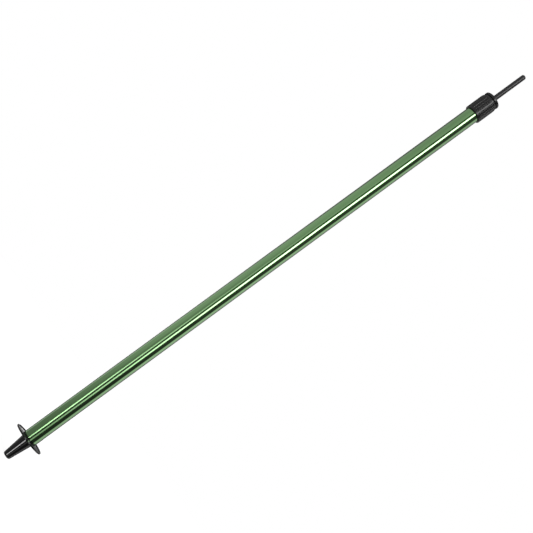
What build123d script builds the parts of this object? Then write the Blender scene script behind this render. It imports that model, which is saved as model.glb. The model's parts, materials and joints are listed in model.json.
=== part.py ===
from build123d import *
import os
from math import isclose

# Telescopic tarp pole with three twist-locking tubes, pushed in to its packed length.
# Millimetres, +Z up the pole, origin in the middle of the foot tip's flat end.

# Tubes
tube_wall = 1.0
outer_tube_diameter = 25.0
section_step = 3.0                # each tube is this much slimmer than the one around it
tube_edge_break = 0.2
packed_length = 952.6

# Foot
tip_length = 38.0
tip_end_diameter = 12.4
tip_root_diameter = 20.6
tip_end_rounding = 3.2
tip_flare = 1.4                   # hollow round where the tip runs out into the disc
disc_diameter = 52.5
disc_thickness = 1.6              # under the plug
disc_fall = 0.25                  # how much lower the disc's top is beside its rim
disc_rim_height = 2.3             # stiffening bead round the disc, from its underside
disc_rim_width = 2.2
disc_rim_rounding = 0.5
foot_plug_length = 24.0
foot_plug_flange = 1.3            # thickness of the rim that the outer tube stands on
foot_stud_diameter = 8.0
foot_stud_reach = 18.0            # into the plug
foot_stud_depth = 24.0            # into the tip
foot_stud_chamfer = 0.8
plug_groove_width = 2.0
plug_groove_depth = 0.5
plug_groove_pitch = 7.0

# Grip collar on the top of the outer tube
collar_diameter = 30.0
collar_bottom = 848.4
collar_rim_rounding = 1.0
collar_mouth_chamfer = 1.0        # round the tube, inside the collar's lower rim
collar_shoulder = 876.7           # where the nose starts to narrow
collar_nose_diameter = 26.4
collar_top = 884.0
collar_lip = 3.5                  # inward lip that keeps the middle tube's lock in
collar_recess = 5.1               # takes the skirt of the middle collar
flute_count = 22
flute_radius = 0.8
flute_depth = 0.5
flute_start = 4.1                 # above the collar's lower rim
first_flute_angle = -5.6          # about the pole, from +X toward +Y

# Collar on the top of the middle tube
ring_diameter = 28.4
ring_bottom = 884.5
ring_top = 889.3
ring_top_rounding = 2.2
ring_bottom_rounding = 0.8
ring_lip = 1.6                    # inward lip that keeps the inner tube's lock in
ring_skirt_diameter = 24.4
ring_skirt_length = 5.0

# Top cap and eyelet pin
cap_flange_diameter = 21.0
cap_flange_thickness = 0.9
cap_flange_rounding = 0.3
cap_clearance = 0.2               # flange above the middle collar
cap_stem_length = 22.0
pin_diameter = 8.0
pin_shank_diameter = 6.0          # the stepped end that sits in the cap
pin_shank_length = 20.0
pin_end_rounding = 2.6

# Fits
lip_clearance = 0.15              # radial, tube in lip
lock_clearance = 0.15             # radial, lock in the tube around it
bearing_clearance = 0.05          # radial, sleeve and cone nut on the stud
section_gap = 3.0                 # end of one lock to whatever lies below it
axial_gap = 0.3                   # between a piece and what stops it

# Twist lock, measured down from the lower end of the tube it is fixed in
plug_stem_length = 22.0
plug_flange_thickness = 2.5
plug_stem_chamfer = 0.8
stud_diameter = 8.0
stud_reach = 16.0                 # into the plug
stud_length_below = 33.5
stud_chamfer = 1.0
sleeve_length = 24.5
sleeve_gap = 0.5                  # sleeve under the plug's flange
hub_length = 5.0
slot_depth = 17.0
slot_width = 1.6
slot_count = 6
finger_wall = 1.6                 # at the finger tips
seat_length = 13.5
seat_spread = 2.0                 # how much the seat's radius grows along its length
drag_ring_section = 1.6
drag_ring_clearance = 0.05
drag_groove_width = 2.0
drag_groove_drop = 1.4            # top of the groove below the top of the sleeve
cone_length = 13.5
cone_lead = 2.0                   # cone stands this far out of the sleeve
cone_gap = 0.35                   # radial, cone to seat with the lock undone
key_count = 3
key_width = 1.2
key_inset = 0.7                   # key's outer face inside the sleeve's
clip_thickness = 1.0
clip_diameter = 11.4
clip_groove_diameter = 6.6
clip_mouth = 5.4
clip_groove_play = 0.1

# Places that follow from the dimensions above
disc_top = tip_length + disc_thickness
outer_tube_foot = disc_top + foot_plug_flange
outer_tube_bore = outer_tube_diameter - 2 * tube_wall
middle_tube_diameter = outer_tube_diameter - section_step
middle_tube_bore = middle_tube_diameter - 2 * tube_wall
inner_tube_diameter = middle_tube_diameter - section_step
inner_tube_bore = inner_tube_diameter - 2 * tube_wall
outer_tube_top = collar_top - collar_recess - collar_lip
middle_tube_top = ring_top - ring_lip
inner_tube_top = ring_top + cap_clearance
middle_tube_foot = disc_top + foot_plug_length + section_gap + stud_length_below
inner_tube_foot = middle_tube_foot + plug_stem_length + section_gap + stud_length_below


def bar(diameter, low, high):
    """Round bar about the Z axis between two heights."""
    base = (Align.CENTER, Align.CENTER, Align.MIN)
    return Pos(0, 0, low) * Cylinder(diameter / 2, high - low, align=base)


def washer(outside, inside, low, high):
    """Round ring about the Z axis between two heights."""
    return bar(outside, low, high) - bar(inside, low, high)


def turned(outline):
    """Solid turned about the Z axis from a closed outline drawn in (radius, height)."""
    return revolve(Plane.XZ * make_face(outline), Axis.Z)


def rim(part, diameter, height):
    """The circular edges of a part with this diameter at this height."""
    def matches(edge):
        same_size = isclose(edge.radius, diameter / 2, abs_tol=1e-4)
        return same_size and isclose(edge.arc_center.Z, height, abs_tol=1e-4)
    return part.edges().filter_by(GeomType.CIRCLE).filter_by(matches)


def around(count, piece):
    """Copies of a piece spaced evenly about the Z axis."""
    return [Rot(0, 0, step * 360 / count) * piece for step in range(count)]


def tube(outside, low, high):
    """Drawn tube with the sharp edges of both ends taken off."""
    body = washer(outside, outside - 2 * tube_wall, low, high)
    return chamfer(body.edges().filter_by(GeomType.CIRCLE), tube_edge_break)


def foot_tip():
    """Tapered foot, drilled from above for its stud, flaring out under the disc."""
    end, root = tip_end_diameter / 2, tip_root_diameter / 2
    flare_start = tip_length - tip_flare
    side = Polyline((0, 0), (end, 0), (root, flare_start))
    flare = RadiusArc((root, flare_start), (root + tip_flare, tip_length), tip_flare)
    closing = Polyline((root + tip_flare, tip_length), (0, tip_length), (0, 0))
    body = turned(side + flare + closing)
    body = fillet(rim(body, tip_end_diameter, 0), tip_end_rounding)
    return body - bar(foot_stud_diameter, tip_length - foot_stud_depth, tip_length)


def foot_disc():
    """Disc with a raised rim that keeps the tip from sinking into soft ground."""
    hole, outside = foot_stud_diameter / 2 + lip_clearance, disc_diameter / 2
    inside, rim_top = outside - disc_rim_width, tip_length + disc_rim_height
    seat = outer_tube_diameter / 2
    outline = Polyline((hole, tip_length), (outside, tip_length), (outside, rim_top),
                       (inside, rim_top), (inside, disc_top - disc_fall),
                       (seat, disc_top), (hole, disc_top), close=True)
    body = turned(outline)
    edges = (rim(body, disc_diameter, tip_length) + rim(body, disc_diameter, rim_top)
             + rim(body, 2 * inside, rim_top))
    return fillet(edges, disc_rim_rounding)


def foot_plug():
    """Flanged plug pressed into the foot of the outer tube, with glue grooves round it."""
    top = disc_top + foot_plug_length
    body = bar(outer_tube_bore, disc_top, top)
    body = chamfer(rim(body, outer_tube_bore, top), plug_stem_chamfer)
    for level in (disc_top + plug_groove_pitch, disc_top + 2 * plug_groove_pitch):
        floor = outer_tube_bore - 2 * plug_groove_depth
        body -= washer(outer_tube_bore, floor, level, level + plug_groove_width)
    body += bar(outer_tube_diameter - 2 * tube_edge_break, disc_top, outer_tube_foot)
    return body - bar(foot_stud_diameter, disc_top, disc_top + foot_stud_reach)


def foot_stud():
    """Steel stud that holds tip and disc against the plug."""
    low = tip_length - foot_stud_depth
    high = disc_top + foot_stud_reach
    body = bar(foot_stud_diameter, low, high)
    return chamfer(body.edges().filter_by(GeomType.CIRCLE), foot_stud_chamfer)


def grip_collar():
    """Fluted grip on the top of the outer tube, with a lip over the tube's end."""
    socket, outside = outer_tube_diameter / 2, collar_diameter / 2
    nose = collar_nose_diameter / 2
    lip = middle_tube_diameter / 2 + lip_clearance
    recess_floor = collar_top - collar_recess
    mouth = (socket + collar_mouth_chamfer, collar_bottom)
    mouth_end = (socket, collar_bottom + collar_mouth_chamfer)
    lower = Polyline(mouth_end, mouth, (outside, collar_bottom), (outside, collar_shoulder))
    shoulder = TangentArc((outside, collar_shoulder), (nose, collar_top), tangent=(0, 1))
    inside = Polyline((nose, collar_top), (socket, collar_top), (socket, recess_floor),
                      (lip, recess_floor), (lip, outer_tube_top),
                      (socket, outer_tube_top), mouth_end)
    body = turned(lower + shoulder + inside)
    body = fillet(rim(body, collar_diameter, collar_bottom), collar_rim_rounding)
    start = collar_bottom + flute_start
    axis_radius = outside - flute_depth + flute_radius
    groove = bar(2 * flute_radius, start, collar_top) + Pos(0, 0, start) * Sphere(flute_radius)
    first = Rot(0, 0, first_flute_angle) * Pos(axis_radius, 0, 0) * groove
    return body - around(flute_count, first)


def middle_collar():
    """Rounded ring on the top of the middle tube; its skirt nests in the grip collar."""
    socket, outside = middle_tube_diameter / 2, ring_diameter / 2
    lip = inner_tube_diameter / 2 + 2 * lip_clearance
    skirt = ring_skirt_diameter / 2
    skirt_end = ring_bottom - ring_skirt_length
    outline = Polyline((socket, skirt_end), (skirt, skirt_end), (skirt, ring_bottom),
                       (outside, ring_bottom), (outside, ring_top), (lip, ring_top),
                       (lip, middle_tube_top), (socket, middle_tube_top), close=True)
    body = turned(outline)
    body = fillet(rim(body, ring_diameter, ring_top), ring_top_rounding)
    return fillet(rim(body, ring_diameter, ring_bottom), ring_bottom_rounding)


def top_cap():
    """Cap pressed into the top of the inner tube, drilled for the pin's shank."""
    flange_top = inner_tube_top + cap_flange_thickness
    stem = bar(inner_tube_bore, inner_tube_top - cap_stem_length, inner_tube_top)
    stem = chamfer(rim(stem, inner_tube_bore, inner_tube_top - cap_stem_length),
                   plug_stem_chamfer)
    flange = bar(cap_flange_diameter, inner_tube_top, flange_top)
    flange = fillet(rim(flange, cap_flange_diameter, flange_top), cap_flange_rounding)
    return stem + flange - bar(pin_shank_diameter, flange_top - pin_shank_length, flange_top)


def eyelet_pin():
    """Steel pin that goes through a tarp's eyelet; its shoulder rests on the cap."""
    shoulder = inner_tube_top + cap_flange_thickness
    low = shoulder - pin_shank_length
    free_end = bar(pin_diameter, shoulder, packed_length)
    free_end = fillet(rim(free_end, pin_diameter, packed_length), pin_end_rounding)
    shank = bar(pin_shank_diameter, low, shoulder)
    return free_end + chamfer(rim(shank, pin_shank_diameter, low), stud_chamfer)


def lock_plug(tube_end, tube_bore, around_bore):
    """Plug pressed into a tube's lower end; its flange guides the tube in the next one."""
    flange_diameter = around_bore - 2 * lock_clearance
    stem = bar(tube_bore, tube_end, tube_end + plug_stem_length)
    stem = chamfer(rim(stem, tube_bore, tube_end + plug_stem_length), plug_stem_chamfer)
    flange = bar(flange_diameter, tube_end - plug_flange_thickness, tube_end)
    bore = bar(stud_diameter, tube_end - plug_flange_thickness, tube_end + stud_reach)
    return stem + flange - bore


def clip_levels(tube_end):
    """Lower faces of the two clips: under the sleeve's hub and under the cone nut."""
    hub_bottom = tube_end - plug_flange_thickness - sleeve_gap - hub_length
    cone_bottom = sleeve_bottom(tube_end) - cone_lead
    return [hub_bottom - axial_gap - clip_thickness, cone_bottom - axial_gap - clip_thickness]


def lock_stud(tube_end):
    """Stud with a groove for each clip; the cone nut runs on its 2 mm pitch thread."""
    low = tube_end - stud_length_below
    body = bar(stud_diameter, low, tube_end + stud_reach)
    body = chamfer(body.edges().filter_by(GeomType.CIRCLE), stud_chamfer)
    for level in clip_levels(tube_end):
        floor_low = level - clip_groove_play / 2
        floor_high = level + clip_thickness + clip_groove_play / 2
        body -= washer(stud_diameter, clip_groove_diameter, floor_low, floor_high)
    return body


def sleeve_top(tube_end):
    return tube_end - plug_flange_thickness - sleeve_gap


def sleeve_bottom(tube_end):
    return sleeve_top(tube_end) - sleeve_length


def seat_tip_radius(around_bore):
    """Inner radius of the conical seat at the finger tips."""
    return around_bore / 2 - lock_clearance - finger_wall


def drag_groove_top(tube_end):
    return sleeve_top(tube_end) - drag_groove_drop


def expander_sleeve(tube_end, around_bore):
    """Slotted sleeve: its fingers are spread from inside and grip the tube around them."""
    top, bottom = sleeve_top(tube_end), sleeve_bottom(tube_end)
    outside = around_bore / 2 - lock_clearance
    tip_radius = seat_tip_radius(around_bore)
    chamber = tip_radius - seat_spread
    hub_bottom = top - hub_length
    hub_bore = stud_diameter / 2 + bearing_clearance
    outline = Polyline((hub_bore, top), (outside, top), (outside, bottom), (tip_radius, bottom),
                       (chamber, bottom + seat_length), (chamber, hub_bottom),
                       (hub_bore, hub_bottom), close=True)
    body = turned(outline)
    slot = Pos(0, 0, bottom) * Box(2 * outside, slot_width, slot_depth,
                                   align=(Align.MIN, Align.CENTER, Align.MIN))
    body -= around(slot_count, slot)
    groove_top = drag_groove_top(tube_end)
    floor = around_bore - 2 * drag_ring_clearance - 2 * drag_ring_section
    return body - washer(around_bore, floor, groove_top - drag_groove_width, groove_top)


def drag_ring(tube_end, around_bore):
    """Rubber ring whose rub keeps the sleeve still while the tube is turned."""
    section = drag_ring_section / 2
    ring_radius = around_bore / 2 - drag_ring_clearance - section
    level = drag_groove_top(tube_end) - drag_groove_width / 2
    return Pos(0, 0, level) * Torus(ring_radius, section)


def cone_nut(tube_end, around_bore):
    """Cone that the stud draws up into the sleeve, kept from turning by keys in the slots."""
    low = sleeve_bottom(tube_end) - cone_lead
    slope = seat_spread / seat_length
    low_radius = seat_tip_radius(around_bore) - cone_gap + slope * cone_lead
    high_radius = low_radius - slope * cone_length
    bore = stud_diameter / 2 + bearing_clearance
    outline = Polyline((bore, low), (low_radius, low), (high_radius, low + cone_length),
                       (bore, low + cone_length), close=True)
    body = turned(outline)
    reach = around_bore / 2 - lock_clearance - key_inset
    key = Pos(bore + 1, 0, low) * Box(reach - bore - 1, key_width, cone_length,
                                      align=(Align.MIN, Align.CENTER, Align.MIN))
    return body + around(key_count, key)


def stud_clip(level):
    """Open clip that snaps sideways into a groove of the stud."""
    body = washer(clip_diameter, clip_groove_diameter, level, level + clip_thickness)
    mouth = Pos(0, 0, level) * Box(clip_diameter, clip_mouth, clip_thickness,
                                   align=(Align.MIN, Align.CENTER, Align.MIN))
    return body - mouth


def twist_lock(prefix, tube_end, tube_bore, around_bore):
    """The pieces of one lock, named after the tube it locks."""
    hub_clip_level, stop_clip_level = clip_levels(tube_end)
    return {
        prefix + "_lock_plug": lock_plug(tube_end, tube_bore, around_bore),
        prefix + "_lock_stud": lock_stud(tube_end),
        prefix + "_sleeve_clip": stud_clip(hub_clip_level),
        prefix + "_stop_clip": stud_clip(stop_clip_level),
        prefix + "_expander_sleeve": expander_sleeve(tube_end, around_bore),
        prefix + "_drag_ring": drag_ring(tube_end, around_bore),
        prefix + "_cone_nut": cone_nut(tube_end, around_bore),
    }


pieces = {
    "foot_tip": foot_tip(),
    "foot_disc": foot_disc(),
    "foot_plug": foot_plug(),
    "foot_stud": foot_stud(),
    "outer_tube": tube(outer_tube_diameter, outer_tube_foot, outer_tube_top),
    "grip_collar": grip_collar(),
    "middle_tube": tube(middle_tube_diameter, middle_tube_foot, middle_tube_top),
    "middle_collar": middle_collar(),
    "inner_tube": tube(inner_tube_diameter, inner_tube_foot, inner_tube_top),
    "top_cap": top_cap(),
    "eyelet_pin": eyelet_pin(),
}
pieces.update(twist_lock("lower", middle_tube_foot, middle_tube_bore, outer_tube_bore))
pieces.update(twist_lock("upper", inner_tube_foot, inner_tube_bore, middle_tube_bore))

os.makedirs("parts", exist_ok=True)
for name, piece in pieces.items():
    export_step(piece, "parts/" + name + ".step")
print("middle tube travel", outer_tube_top - middle_tube_foot - axial_gap)
print("inner tube travel", middle_tube_top - inner_tube_foot - axial_gap)
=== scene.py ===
import json
import math

import bmesh
import bpy
from mathutils import Matrix, Vector


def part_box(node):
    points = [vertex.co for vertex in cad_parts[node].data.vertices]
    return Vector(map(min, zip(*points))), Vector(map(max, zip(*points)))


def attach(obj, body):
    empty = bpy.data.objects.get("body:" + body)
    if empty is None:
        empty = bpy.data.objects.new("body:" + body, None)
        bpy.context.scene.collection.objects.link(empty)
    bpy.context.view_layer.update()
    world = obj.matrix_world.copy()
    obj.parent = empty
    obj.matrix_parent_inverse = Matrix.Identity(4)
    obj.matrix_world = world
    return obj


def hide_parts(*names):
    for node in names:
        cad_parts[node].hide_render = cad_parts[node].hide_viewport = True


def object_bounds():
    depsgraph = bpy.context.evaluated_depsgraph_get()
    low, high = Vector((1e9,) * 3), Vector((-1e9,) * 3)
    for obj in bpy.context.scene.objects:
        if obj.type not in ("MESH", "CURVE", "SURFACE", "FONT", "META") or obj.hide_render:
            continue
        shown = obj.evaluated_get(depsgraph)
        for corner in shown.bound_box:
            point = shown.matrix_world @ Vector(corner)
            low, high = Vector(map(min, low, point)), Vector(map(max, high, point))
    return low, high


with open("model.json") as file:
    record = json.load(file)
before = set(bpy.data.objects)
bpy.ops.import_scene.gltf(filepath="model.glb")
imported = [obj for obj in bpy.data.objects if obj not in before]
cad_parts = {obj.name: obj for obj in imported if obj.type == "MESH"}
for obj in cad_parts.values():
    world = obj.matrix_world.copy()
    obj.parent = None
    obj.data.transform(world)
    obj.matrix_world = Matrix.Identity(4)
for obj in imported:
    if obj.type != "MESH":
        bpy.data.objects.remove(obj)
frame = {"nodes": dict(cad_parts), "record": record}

# Looks of the telescopic tarp pole. Metres, +Z up the pole, origin under the foot tip.
# Each piece's place comes from its CAD node's box; the sizes here are those inside a node.

cad_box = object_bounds()
MM = 0.001
MICRON = 1e-6

# Shapes
TUBE_WALL = 1.0 * MM
TUBE_EDGE = 0.2 * MM
TUBE_EDGE_STEPS = 3
TUBE_SIDES = 128
WALL_STEP = 20 * MM                # height of one row of faces on a tube's wall
WALL_END = 0.3 * MM                # height of the first and the last row
ROUND_STEPS = 6
ON_AXIS = 1e-7                     # a smaller radius is a point on the axis
TURNED_SIDES = 160
SHARP_ANGLE = math.radians(38)

TIP_END_RADIUS = 6.2 * MM
TIP_ROOT_RADIUS = 10.3 * MM
TIP_END_ROUND = 3.2 * MM
TIP_FLARE = 1.4 * MM
TIP_ROWS = 16
STUD_RADIUS = 4.0 * MM
STUD_HOLE_DEPTH = 24.0 * MM
DISC_THICKNESS = 1.6 * MM
DISC_FALL = 0.25 * MM              # how much lower the disc's top is beside its rim
DISC_RIM_WIDTH = 2.2 * MM
DISC_RIM_ROUND = 0.5 * MM
DISC_HOLE_RADIUS = 4.15 * MM
DISC_ROWS = 8

COLLAR_RIM_ROUND = 1.0 * MM
COLLAR_MOUTH_CHAMFER = 1.0 * MM
COLLAR_SHOULDER_RISE = 7.3 * MM    # height of the narrowing nose
COLLAR_NOSE_RADIUS = 13.2 * MM
COLLAR_LIP = 3.5 * MM
COLLAR_LIP_RADIUS = 11.15 * MM
COLLAR_RECESS = 5.1 * MM
FLUTES = 22
FLUTE_SIDES = 24                   # faces round the collar for each flute
FLUTE_RADIUS = 0.8 * MM
FLUTE_DEPTH = 0.5 * MM
FLUTE_START = 4.1 * MM             # above the collar's lower rim
FLUTE_EDGE = 0.035 * MM            # softness of a flute's two edges
FLUTE_EDGE_REACH = 8 * FLUTE_EDGE  # beyond it the softness is nil
FLUTE_ROW = 1.5 * MM
FLUTE_END_ROW = 0.08 * MM          # finer rows round a flute's lower end
COLLAR_ROW = 1.0 * MM
FIRST_FLUTE = math.radians(-5.6)   # about the pole, from +X toward +Y

RING_TOP_ROUND = 2.2 * MM
RING_BOTTOM_ROUND = 0.8 * MM
RING_LIP = 1.6 * MM
RING_LIP_RADIUS = 9.8 * MM
RING_SKIRT_RADIUS = 12.2 * MM
RING_SKIRT_LENGTH = 5.0 * MM
RING_ROW = 1.0 * MM
RING_END_ROW = 0.1 * MM

CAP_FLANGE = 0.9 * MM
CAP_FLANGE_ROUND = 0.3 * MM
CAP_STEM_CHAMFER = 0.8 * MM
PIN_SHANK_RADIUS = 3.0 * MM
PIN_SHANK_LENGTH = 20.0 * MM
PIN_END_ROUND = 2.6 * MM
PIN_SHANK_CHAMFER = 1.0 * MM
PIN_ROW = 4.0 * MM
PIN_SIDES = 96

# Camera and floor
CAMERA_PLACE = Vector((0.0014, -1.5218, 0.2374))
CAMERA_TILT = math.radians(8.2)    # looking up
POLE_LEAN = math.radians(36.19)    # of the pole above the picture's lower edge
SENSOR_WIDTH = 36.0                # millimetres, as the focal length
FOCAL_LENGTH = 70.9193
FLOOR_RADIUS = 3.0

# Lamp for the foot's highlight, in front of it and under the floor, which stops no reflections
LAMP_AZIMUTH = math.radians(-15.5)
LAMP_FALL = math.radians(24)       # below level, seen from the foot
LAMP_DISTANCE = 1.0
LAMP_WIDTH = 0.21
LAMP_HEIGHT = 0.33
LAMP_STRENGTH = 22.0


def arc(radius, height, size, start, end, steps=ROUND_STEPS):
    """Points of a round; its angles run in degrees from outward, 0, to upward, 90."""
    points = []
    for step in range(steps + 1):
        angle = math.radians(start + (end - start) * step / steps)
        points.append((radius + size * math.cos(angle), height + size * math.sin(angle)))
    return points


def wall(radius, low, high, step=WALL_STEP, edge=WALL_END):
    """Points up a straight wall, with a row near each end that keeps its shading flat."""
    rows = max(1, round((high - low) / step))
    inner = [low + edge + (high - low - 2 * edge) * row / rows for row in range(rows + 1)]
    return [(radius, height) for height in [low] + inner + [high]]


def placed(name, data):
    """New object with this data, in the scene."""
    made = bpy.data.objects.new(name, data)
    bpy.context.scene.collection.objects.link(made)
    return made


def turned(name, outline, sides=TURNED_SIDES, shape=None, first_angle=0.0):
    """Closed mesh turned about the pole's axis from an outline of (radius, height) points."""
    bm = bmesh.new()
    rings = []
    for radius, height in outline:
        if radius < ON_AXIS:
            rings.append([bm.verts.new((0, 0, height))])
            continue
        ring = []
        for side in range(sides):
            angle = first_angle + 2 * math.pi * side / sides
            reach = shape(radius, height, angle) if shape else radius
            ring.append(bm.verts.new((reach * math.cos(angle), reach * math.sin(angle), height)))
        rings.append(ring)
    for lower, upper in zip(rings, rings[1:] + rings[:1]):
        if len(lower) == 1 and len(upper) == 1:
            continue
        for side in range(sides):
            after = (side + 1) % sides
            corners = [lower[side % len(lower)], lower[after % len(lower)],
                       upper[after % len(upper)], upper[side % len(upper)]]
            bm.faces.new(list(dict.fromkeys(corners)))
    bmesh.ops.recalc_face_normals(bm, faces=bm.faces)
    mesh = bpy.data.meshes.new(name)
    bm.to_mesh(mesh)
    bm.free()
    mesh.shade_smooth()
    mesh.set_sharp_from_angle(angle=SHARP_ANGLE)
    piece = placed(name, mesh)
    weighted = piece.modifiers.new("even_shading", "WEIGHTED_NORMAL")
    weighted.keep_sharp = True
    return piece


def span(node):
    """Radius, lowest and highest level of a CAD node."""
    low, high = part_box(node)
    return high.x, low.z, high.z


def tube(name, node):
    radius, low, high = span(node)
    bore, edge, steps = radius - TUBE_WALL, TUBE_EDGE, TUBE_EDGE_STEPS
    outline = (wall(radius, low + edge, high - edge)
               + arc(radius - edge, high - edge, edge, 0, 90, steps)[1:]
               + arc(bore + edge, high - edge, edge, 90, 180, steps)
               + wall(bore, low + edge, high - edge)[::-1][1:]
               + arc(bore + edge, low + edge, edge, 180, 270, steps)[1:]
               + arc(radius - edge, low + edge, edge, 270, 360, steps)[:-1])
    return turned(name, outline, TUBE_SIDES)


def foot_tip(name):
    _, low, high = span("foot_tip")
    slope = math.degrees(math.atan2(TIP_ROOT_RADIUS - TIP_END_RADIUS, high - low - TIP_FLARE))
    half = math.radians(90 + slope) / 2
    setback = TIP_END_ROUND / math.tan(half)
    centre = (TIP_END_RADIUS - setback, low + TIP_END_ROUND)
    nose = arc(*centre, TIP_END_ROUND, 270, 360 - slope, 10)
    cone_top = high - TIP_FLARE
    cone_radius, cone_low = nose[-1]
    widening, rise = TIP_ROOT_RADIUS - cone_radius, cone_top - cone_low
    side = [(cone_radius + widening * row / TIP_ROWS, cone_low + rise * row / TIP_ROWS)
            for row in range(1, TIP_ROWS + 1)]
    flare = arc(TIP_ROOT_RADIUS + TIP_FLARE, cone_top, TIP_FLARE, 180, 90, 8)[1:]
    hole_floor = high - STUD_HOLE_DEPTH
    hole = [(STUD_RADIUS, high), (STUD_RADIUS, hole_floor), (0, hole_floor)]
    return turned(name, [(0, low)] + nose + side + flare + hole)


def foot_disc(name):
    radius, low, high = span("foot_disc")
    edge, top = DISC_RIM_ROUND, low + DISC_THICKNESS
    inside, seat = radius - DISC_RIM_WIDTH, span("outer_tube")[0]
    slope = [(inside + (seat - inside) * row / DISC_ROWS, top - DISC_FALL * (1 - row / DISC_ROWS))
             for row in range(DISC_ROWS + 1)]
    outline = ([(DISC_HOLE_RADIUS, low), (seat, low), (inside, low)]
               + arc(radius - edge, low + edge, edge, 270, 360)
               + arc(radius - edge, high - edge, edge, 0, 90)
               + arc(inside + edge, high - edge, edge, 90, 180)
               + slope + [(DISC_HOLE_RADIUS, top)])
    return turned(name, outline)


collar_radius, collar_low, collar_high = span("grip_collar")
flutes_low = collar_low + FLUTE_START


def flute(radius, height, angle):
    """Radius of the collar's outside with the flutes cut in it: grooves that end in half a ball."""
    below = max(0.0, flutes_low - height)
    if below >= FLUTE_RADIUS:
        return radius
    size = math.sqrt(FLUTE_RADIUS ** 2 - below ** 2)
    pitch = 2 * math.pi / FLUTES
    turn = (angle - FIRST_FLUTE + pitch / 2) % pitch - pitch / 2
    axis = collar_radius - FLUTE_DEPTH + FLUTE_RADIUS
    aside = axis * math.sin(turn)
    if abs(aside) >= size:
        return radius
    floor = axis * math.cos(turn) - math.sqrt(size ** 2 - aside ** 2)
    if floor - radius > FLUTE_EDGE_REACH:
        return radius
    softening = math.log(1 + math.exp(-abs(radius - floor) / FLUTE_EDGE))
    return min(radius, floor) - FLUTE_EDGE * softening


def grip_collar(name):
    radius, low, high = collar_radius, collar_low, collar_high
    socket = span("outer_tube")[0]
    rim = COLLAR_RIM_ROUND
    shoulder = high - COLLAR_SHOULDER_RISE
    drop = radius - COLLAR_NOSE_RADIUS
    bend = (drop ** 2 + COLLAR_SHOULDER_RISE ** 2) / (2 * drop)
    lean = math.degrees(math.asin(COLLAR_SHOULDER_RISE / bend))
    flute_tips = flutes_low - FLUTE_RADIUS
    recess = high - COLLAR_RECESS
    outline = (arc(radius - rim, low + rim, rim, 270, 360)
               + wall(radius, low + rim, flute_tips, COLLAR_ROW)[1:]
               + wall(radius, flute_tips, flutes_low, FLUTE_END_ROW, FLUTE_END_ROW / 4)[1:]
               + wall(radius, flutes_low, shoulder, FLUTE_ROW)[1:]
               + arc(radius - bend, shoulder, bend, 0, lean, 24)[1:]
               + [(socket, high), (socket, recess), (COLLAR_LIP_RADIUS, recess),
                  (COLLAR_LIP_RADIUS, recess - COLLAR_LIP), (socket, recess - COLLAR_LIP),
                  (socket, low + COLLAR_MOUTH_CHAMFER), (socket + COLLAR_MOUTH_CHAMFER, low)])
    return turned(name, outline, FLUTES * FLUTE_SIDES, flute, FIRST_FLUTE)


def middle_collar(name):
    radius, low, high = span("middle_collar")
    socket = span("middle_tube")[0]
    bottom = low + RING_SKIRT_LENGTH
    top_round, bottom_round = RING_TOP_ROUND, RING_BOTTOM_ROUND
    lip_bottom = high - RING_LIP
    outline = ([(socket, low), (RING_SKIRT_RADIUS, low), (RING_SKIRT_RADIUS, bottom)]
               + arc(radius - bottom_round, bottom + bottom_round, bottom_round, 270, 360)
               + wall(radius, bottom + bottom_round, high - top_round, RING_ROW, RING_END_ROW)[1:]
               + arc(radius - top_round, high - top_round, top_round, 0, 90, 12)[1:]
               + [(RING_LIP_RADIUS, high), (RING_LIP_RADIUS, lip_bottom), (socket, lip_bottom)])
    return turned(name, outline)


def top_cap(name):
    radius, low, high = span("top_cap")
    stem = span("inner_tube")[0] - TUBE_WALL
    flange_low = high - CAP_FLANGE
    edge, chamfer = CAP_FLANGE_ROUND, CAP_STEM_CHAMFER
    hole_floor = high - PIN_SHANK_LENGTH
    outline = ([(0, low), (stem - chamfer, low), (stem, low + chamfer), (stem, flange_low),
                (radius, flange_low), (radius, high - edge)]
               + arc(radius - edge, high - edge, edge, 0, 90, 4)[1:]
               + [(PIN_SHANK_RADIUS, high), (PIN_SHANK_RADIUS, hole_floor), (0, hole_floor)])
    return turned(name, outline)


def eyelet_pin(name):
    radius, low, high = span("eyelet_pin")
    shoulder = low + PIN_SHANK_LENGTH
    chamfer, end = PIN_SHANK_CHAMFER, PIN_END_ROUND
    outline = ([(0, low), (PIN_SHANK_RADIUS - chamfer, low), (PIN_SHANK_RADIUS, low + chamfer),
                (PIN_SHANK_RADIUS, shoulder)]
               + wall(radius, shoulder, high - end, PIN_ROW)
               + arc(radius - end, high - end, end, 0, 90, 12)[1:]
               + [(0, high)])
    return turned(name, outline, PIN_SIDES)


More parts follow.
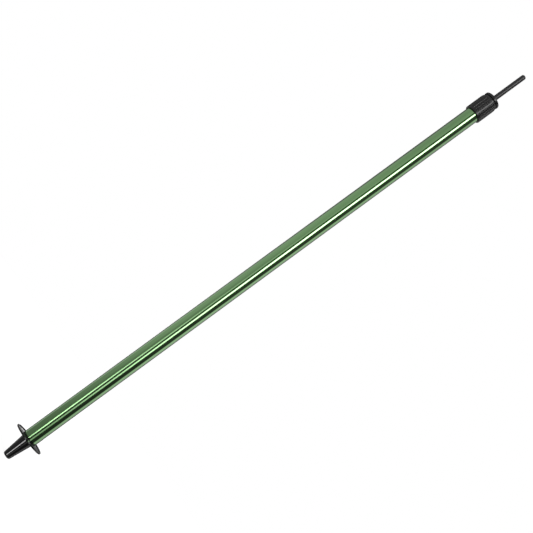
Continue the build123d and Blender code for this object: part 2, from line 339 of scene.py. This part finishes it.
class Graph:
    """Fills a node tree; each call adds one node and returns its output."""

    def __init__(self, tree):
        tree.nodes.clear()
        self.tree = tree

    def add(self, kind, inputs=(), output=0, **settings):
        node = self.tree.nodes.new(kind)
        for name, value in settings.items():
            setattr(node, name, value)
        for name, value in dict(inputs).items():
            if isinstance(value, bpy.types.NodeSocket):
                self.tree.links.new(value, node.inputs[name])
            else:
                node.inputs[name].default_value = value
        return node.outputs[output] if node.outputs else node

    def math(self, operation, first, second=0.0):
        return self.add("ShaderNodeMath", {0: first, 1: second}, operation=operation)

    def ramp(self, value, low, high, to_low=0.0, to_high=1.0, smooth=True):
        """Value taken from low..high to to_low..to_high, and held outside."""
        kind = "SMOOTHSTEP" if smooth else "LINEAR"
        sockets = {"Value": value, "From Min": low, "From Max": high,
                   "To Min": to_low, "To Max": to_high}
        return self.add("ShaderNodeMapRange", sockets, interpolation_type=kind)

    def noise(self, place, scale, detail, stretch=None):
        if stretch:
            place = self.add("ShaderNodeMapping", {"Vector": place, "Scale": stretch})
        sockets = {"Vector": place, "Scale": scale, "Detail": detail}
        return self.add("ShaderNodeTexNoise", sockets)

    def blend(self, factor, first, second):
        """Colour between two colours."""
        sockets = {0: factor, 6: first, 7: second}
        return self.add("ShaderNodeMix", sockets, output=2, data_type="RGBA")

    def bump(self, height, depth):
        return self.add("ShaderNodeBump", {"Height": height, "Distance": depth, "Strength": 1.0})


def finished(name, surface):
    """Material whose Principled inputs are what surface(graph, place) returns."""
    material = bpy.data.materials.new(name)
    material.use_nodes = True
    graph = Graph(material.node_tree)
    place = graph.add("ShaderNodeTexCoord", output=3)
    shader = graph.add("ShaderNodeBsdfPrincipled", surface(graph, place))
    graph.add("ShaderNodeOutputMaterial", {"Surface": shader})
    return material


def colour(red, green, blue):
    return (red, green, blue, 1.0)


def anodised(slide_marks):
    """Drawn, green anodised aluminium; slide_marks is how much a neighbour's rub shows."""
    def surface(graph, place):
        lines = graph.noise(place, 1800, 3, (1, 1, 0.004))
        dye = graph.noise(place, 14, 2, (1, 1, 0.25))
        marks = graph.noise(place, 900, 4, (1, 1, 0.012))
        worn = graph.ramp(marks, 0.66, 0.72, 0.0, slide_marks)
        deep, pale = colour(0.053, 0.194, 0.026), colour(0.061, 0.216, 0.030)
        dyed = graph.blend(graph.ramp(dye, 0.35, 0.65), deep, pale)
        bare = colour(0.30, 0.42, 0.27)
        grain = graph.ramp(lines, 0.3, 0.7, 0.10, 0.14)
        return {"Base Color": graph.blend(worn, dyed, bare),
                "Metallic": 1.0,
                "Roughness": graph.math("ADD", grain, graph.math("MULTIPLY", worn, 0.12)),
                "Coat Weight": 1.0,
                "Coat Roughness": 0.12,
                "Coat IOR": 2.0,
                "Normal": graph.bump(lines, 0.25 * MICRON)}
    return surface


def moulded(shade, roughness, texture, specular=0.5):
    """Black moulded plastic with a fine eroded skin, texture microns deep."""
    def surface(graph, place):
        skin = graph.noise(place, 2600, 3)
        flow = graph.noise(place, 60, 2)
        dark = colour(shade * 0.85, shade * 0.85, shade * 0.88)
        light = colour(shade * 1.15, shade * 1.15, shade * 1.18)
        return {"Base Color": graph.blend(flow, dark, light),
                "Roughness": graph.ramp(flow, 0.3, 0.7, roughness - 0.02, roughness + 0.02),
                "IOR": 1.5,
                "Specular IOR Level": specular,
                "Normal": graph.bump(skin, texture * MICRON)}
    return surface


def blackened(graph, place):
    """Turned steel under a thin black finish."""
    turning = graph.noise(place, 2200, 2, (0.02, 0.02, 1))
    flow = graph.noise(place, 120, 3)
    dark, light = colour(0.005, 0.005, 0.0055), colour(0.008, 0.008, 0.0085)
    return {"Base Color": graph.blend(flow, dark, light),
            "Roughness": graph.ramp(turning, 0.3, 0.7, 0.31, 0.37),
            "IOR": 1.5,
            "Specular IOR Level": 0.36,
            "Normal": graph.bump(turning, 0.5 * MICRON)}


def plated(tint, roughness):
    """Steel with a thin metallic plating."""
    def surface(graph, place):
        cloud = graph.noise(place, 300, 3)
        turning = graph.noise(place, 1500, 2, (0.05, 0.05, 1))
        dull = colour(*(0.82 * part for part in tint))
        return {"Base Color": graph.blend(cloud, dull, colour(*tint)),
                "Metallic": 1.0,
                "Roughness": graph.ramp(cloud, 0.3, 0.7, roughness - 0.06, roughness + 0.06),
                "Normal": graph.bump(turning, 3 * MICRON)}
    return surface


def natural(graph, place):
    """Undyed nylon."""
    cloud = graph.noise(place, 140, 3)
    skin = graph.noise(place, 1800, 2)
    return {"Base Color": graph.blend(cloud, colour(0.72, 0.69, 0.60), colour(0.80, 0.78, 0.70)),
            "Roughness": graph.ramp(cloud, 0.3, 0.7, 0.42, 0.52),
            "Subsurface Weight": 0.25,
            "Subsurface Scale": 1 * MM,
            "Normal": graph.bump(skin, 6 * MICRON)}


materials = {
    "black_nylon": finished("black_nylon", moulded(0.002, 0.34, 0.3, 0.34)),
    "plug_nylon": finished("plug_nylon", moulded(0.05, 0.5, 6.0)),
    "cone_acetal": finished("cone_acetal", moulded(0.02, 0.25, 1.0)),
    "ring_rubber": finished("ring_rubber", moulded(0.02, 0.75, 8.0)),
    "natural_nylon": finished("natural_nylon", natural),
    "zinc_steel": finished("zinc_steel", plated((0.62, 0.63, 0.66), 0.3)),
    "spring_steel": finished("spring_steel", plated((0.14, 0.14, 0.15), 0.4)),
    "black_steel": finished("black_steel", blackened),
    "green_anodised": finished("green_anodised", anodised(0.12)),
}
sliding_tube = finished("green_anodised_sliding", anodised(0.7))
foot_black = finished("black_nylon_foot", moulded(0.003, 0.15, 0.5, 0.36))
disc_black = finished("black_nylon_disc", moulded(0.003, 0.13, 0.5, 0.36))

slot_of = {part["node"]: part["material_slot"] for part in frame["record"]["subparts"]}
body_of = {node: body for body, nodes in frame["record"]["behaviour"]["bodies"].items()
           for node in nodes}

for node, cad_piece in frame["nodes"].items():
    cad_piece.data.materials.clear()
    cad_piece.data.materials.append(materials[slot_of[node]])


def show(piece, node, material=None):
    """Puts a fine piece in a CAD node's place, on its body and with its finish."""
    piece.data.materials.append(material or materials[slot_of[node]])
    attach(piece, body_of[node])
    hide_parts(node)


show(tube("outer_tube_skin", "outer_tube"), "outer_tube")
show(tube("middle_tube_skin", "middle_tube"), "middle_tube", sliding_tube)
show(tube("inner_tube_skin", "inner_tube"), "inner_tube", sliding_tube)
show(foot_tip("foot_tip_turned"), "foot_tip", foot_black)
show(foot_disc("foot_disc_turned"), "foot_disc", disc_black)
show(grip_collar("grip_collar_fluted"), "grip_collar")
show(middle_collar("middle_collar_ring"), "middle_collar")
show(top_cap("top_cap_turned"), "top_cap")
show(eyelet_pin("eyelet_pin_turned"), "eyelet_pin")


def studio(world):
    """White for the camera; all other rays see a ring of soft studio panels.

    Azimuth and height are in degrees: azimuth from the camera's side, -Y, toward +X.
    """
    world.use_nodes = True
    graph = Graph(world.node_tree)
    direction = graph.add("ShaderNodeTexCoord")
    split = graph.add("ShaderNodeSeparateXYZ", {0: direction}).node
    x, y, z = split.outputs
    azimuth = graph.math("MULTIPLY", graph.math("ARCTAN2", x, graph.math("MULTIPLY", y, -1)),
                         180 / math.pi)
    height = graph.math("MULTIPLY", graph.math("ARCSINE", z), 180 / math.pi)

    def panel(start, end, soft, strength, share):
        """Light between two azimuths, with edges soft to each side; share is by height."""
        rise = graph.ramp(azimuth, start - soft, start + soft)
        fall = graph.ramp(azimuth, end - soft, end + soft, 1.0, 0.0)
        light = graph.math("MULTIPLY", graph.math("MULTIPLY", rise, fall), strength)
        return graph.math("MULTIPLY", light, share)

    dimmer_high_up = graph.ramp(height, 9, 24, 1.0, 0.77)
    upper = graph.math("MULTIPLY", graph.ramp(height, -9, 4, 0.40, 1.0), dimmer_high_up)
    gap = graph.ramp(height, -9, 16, 0.35, 0.82)
    falling_off = graph.ramp(height, 4, 22, 1.0, 0.70, smooth=False)
    even = graph.math("MULTIPLY", graph.ramp(height, -9, 2, 0.93, 1.12), falling_off)
    lower = graph.ramp(height, 0, 18, 1.0, 0.25)
    high_up = graph.ramp(height, -7, 11, 0.085, 1.0)
    behind_disc = graph.ramp(height, 4.8, 8.2, 1.0, 0.0)
    fading = graph.math("EXPONENT", graph.math("DIVIDE", graph.math("ADD", height, 6.3), -5))
    low_strip = graph.math("MULTIPLY", fading, graph.ramp(height, -7.1, -6.9, 0.0, 8.2))
    near_floor = graph.math("ADD", low_strip, 0.15)
    light = graph.ramp(height, -9, 10, 0.06, 0.115)
    for one_panel in (
            panel(-114, -48, 11, 0.79, upper),          # the wide band on the tube's left
            panel(-136, -110, 5, 0.72, lower),          # that band's outer edge
            panel(-48, -9, 8, 0.85, gap),               # between the wide band and the main stripe
            panel(-21.5, -9.5, 2.5, 1.0, near_floor),   # the stripe that fades upward
            panel(14.5, 30.2, 3.5, 11.5, high_up),      # the main stripe
            panel(86, 110, 6, 1.25, even),              # the band on the tube's right
            panel(110, 134, 6, 0.8, even),              # that band's outer edge
            panel(175, 181, 1.5, 0.5, behind_disc),     # this and the next, on the disc's top
            panel(-180, -173, 1.5, 2.4, behind_disc)):
        light = graph.math("ADD", light, one_panel)
    seen = graph.add("ShaderNodeBackground", {"Color": colour(1, 1, 1), "Strength": 1.0})
    lit = graph.add("ShaderNodeBackground", {"Color": colour(1, 1, 1), "Strength": light})
    camera_ray = graph.add("ShaderNodeLightPath")
    mixed = graph.add("ShaderNodeMixShader", {0: camera_ray, 1: lit, 2: seen})
    graph.add("ShaderNodeOutputWorld", {"Surface": mixed})


def floor_surface(graph, place):
    cloud = graph.noise(place, 3, 2)
    return {"Base Color": graph.blend(cloud, colour(0.14, 0.14, 0.14), colour(0.16, 0.16, 0.16)),
            "Roughness": 1.0,
            "Specular IOR Level": 0.0,
            "Emission Color": colour(1, 1, 1),
            "Emission Strength": 0.93}


def add_floor():
    mesh = bpy.data.meshes.new("floor")
    bm = bmesh.new()
    bmesh.ops.create_circle(bm, cap_ends=True, segments=64, radius=FLOOR_RADIUS)
    bm.to_mesh(mesh)
    bm.free()
    mesh.materials.append(finished("pale_floor", floor_surface))
    floor = placed("floor", mesh)
    floor.location.z = cad_box[0].z
    floor.visible_glossy = False


def add_camera():
    data = bpy.data.cameras.new("camera")
    data.sensor_width = SENSOR_WIDTH
    data.lens = FOCAL_LENGTH
    data.clip_start = 0.05
    ahead = Vector((0, math.cos(CAMERA_TILT), math.sin(CAMERA_TILT)))
    level_up = Vector((0, -math.sin(CAMERA_TILT), math.cos(CAMERA_TILT)))
    level_right = Vector((1, 0, 0))
    roll = math.pi / 2 - POLE_LEAN
    right = level_right * math.cos(roll) + level_up * math.sin(roll)
    up = level_up * math.cos(roll) - level_right * math.sin(roll)
    turn = Matrix((right, up, -ahead)).transposed()
    camera = placed("camera", data)
    camera.matrix_world = Matrix.Translation(CAMERA_PLACE) @ turn.to_4x4()
    bpy.context.scene.camera = camera


def add_foot_lamp():
    data = bpy.data.lights.new("foot_lamp", "AREA")
    data.shape = "RECTANGLE"
    data.size = LAMP_WIDTH
    data.size_y = LAMP_HEIGHT
    data.energy = LAMP_STRENGTH * math.pi * LAMP_WIDTH * LAMP_HEIGHT
    level = math.cos(LAMP_FALL)
    toward_lamp = Vector((math.sin(LAMP_AZIMUTH) * level, -math.cos(LAMP_AZIMUTH) * level,
                          -math.sin(LAMP_FALL)))
    lamp = placed("foot_lamp", data)
    lamp.location = toward_lamp * LAMP_DISTANCE
    lamp.rotation_euler = toward_lamp.to_track_quat("Z", "Y").to_euler()
    lamp.visible_camera = False
    lamp.visible_diffuse = False


bpy.context.scene.view_settings.view_transform = "Standard"
bpy.context.scene.world = bpy.data.worlds.new("studio")
studio(bpy.context.scene.world)
add_floor()
add_camera()
add_foot_lamp()
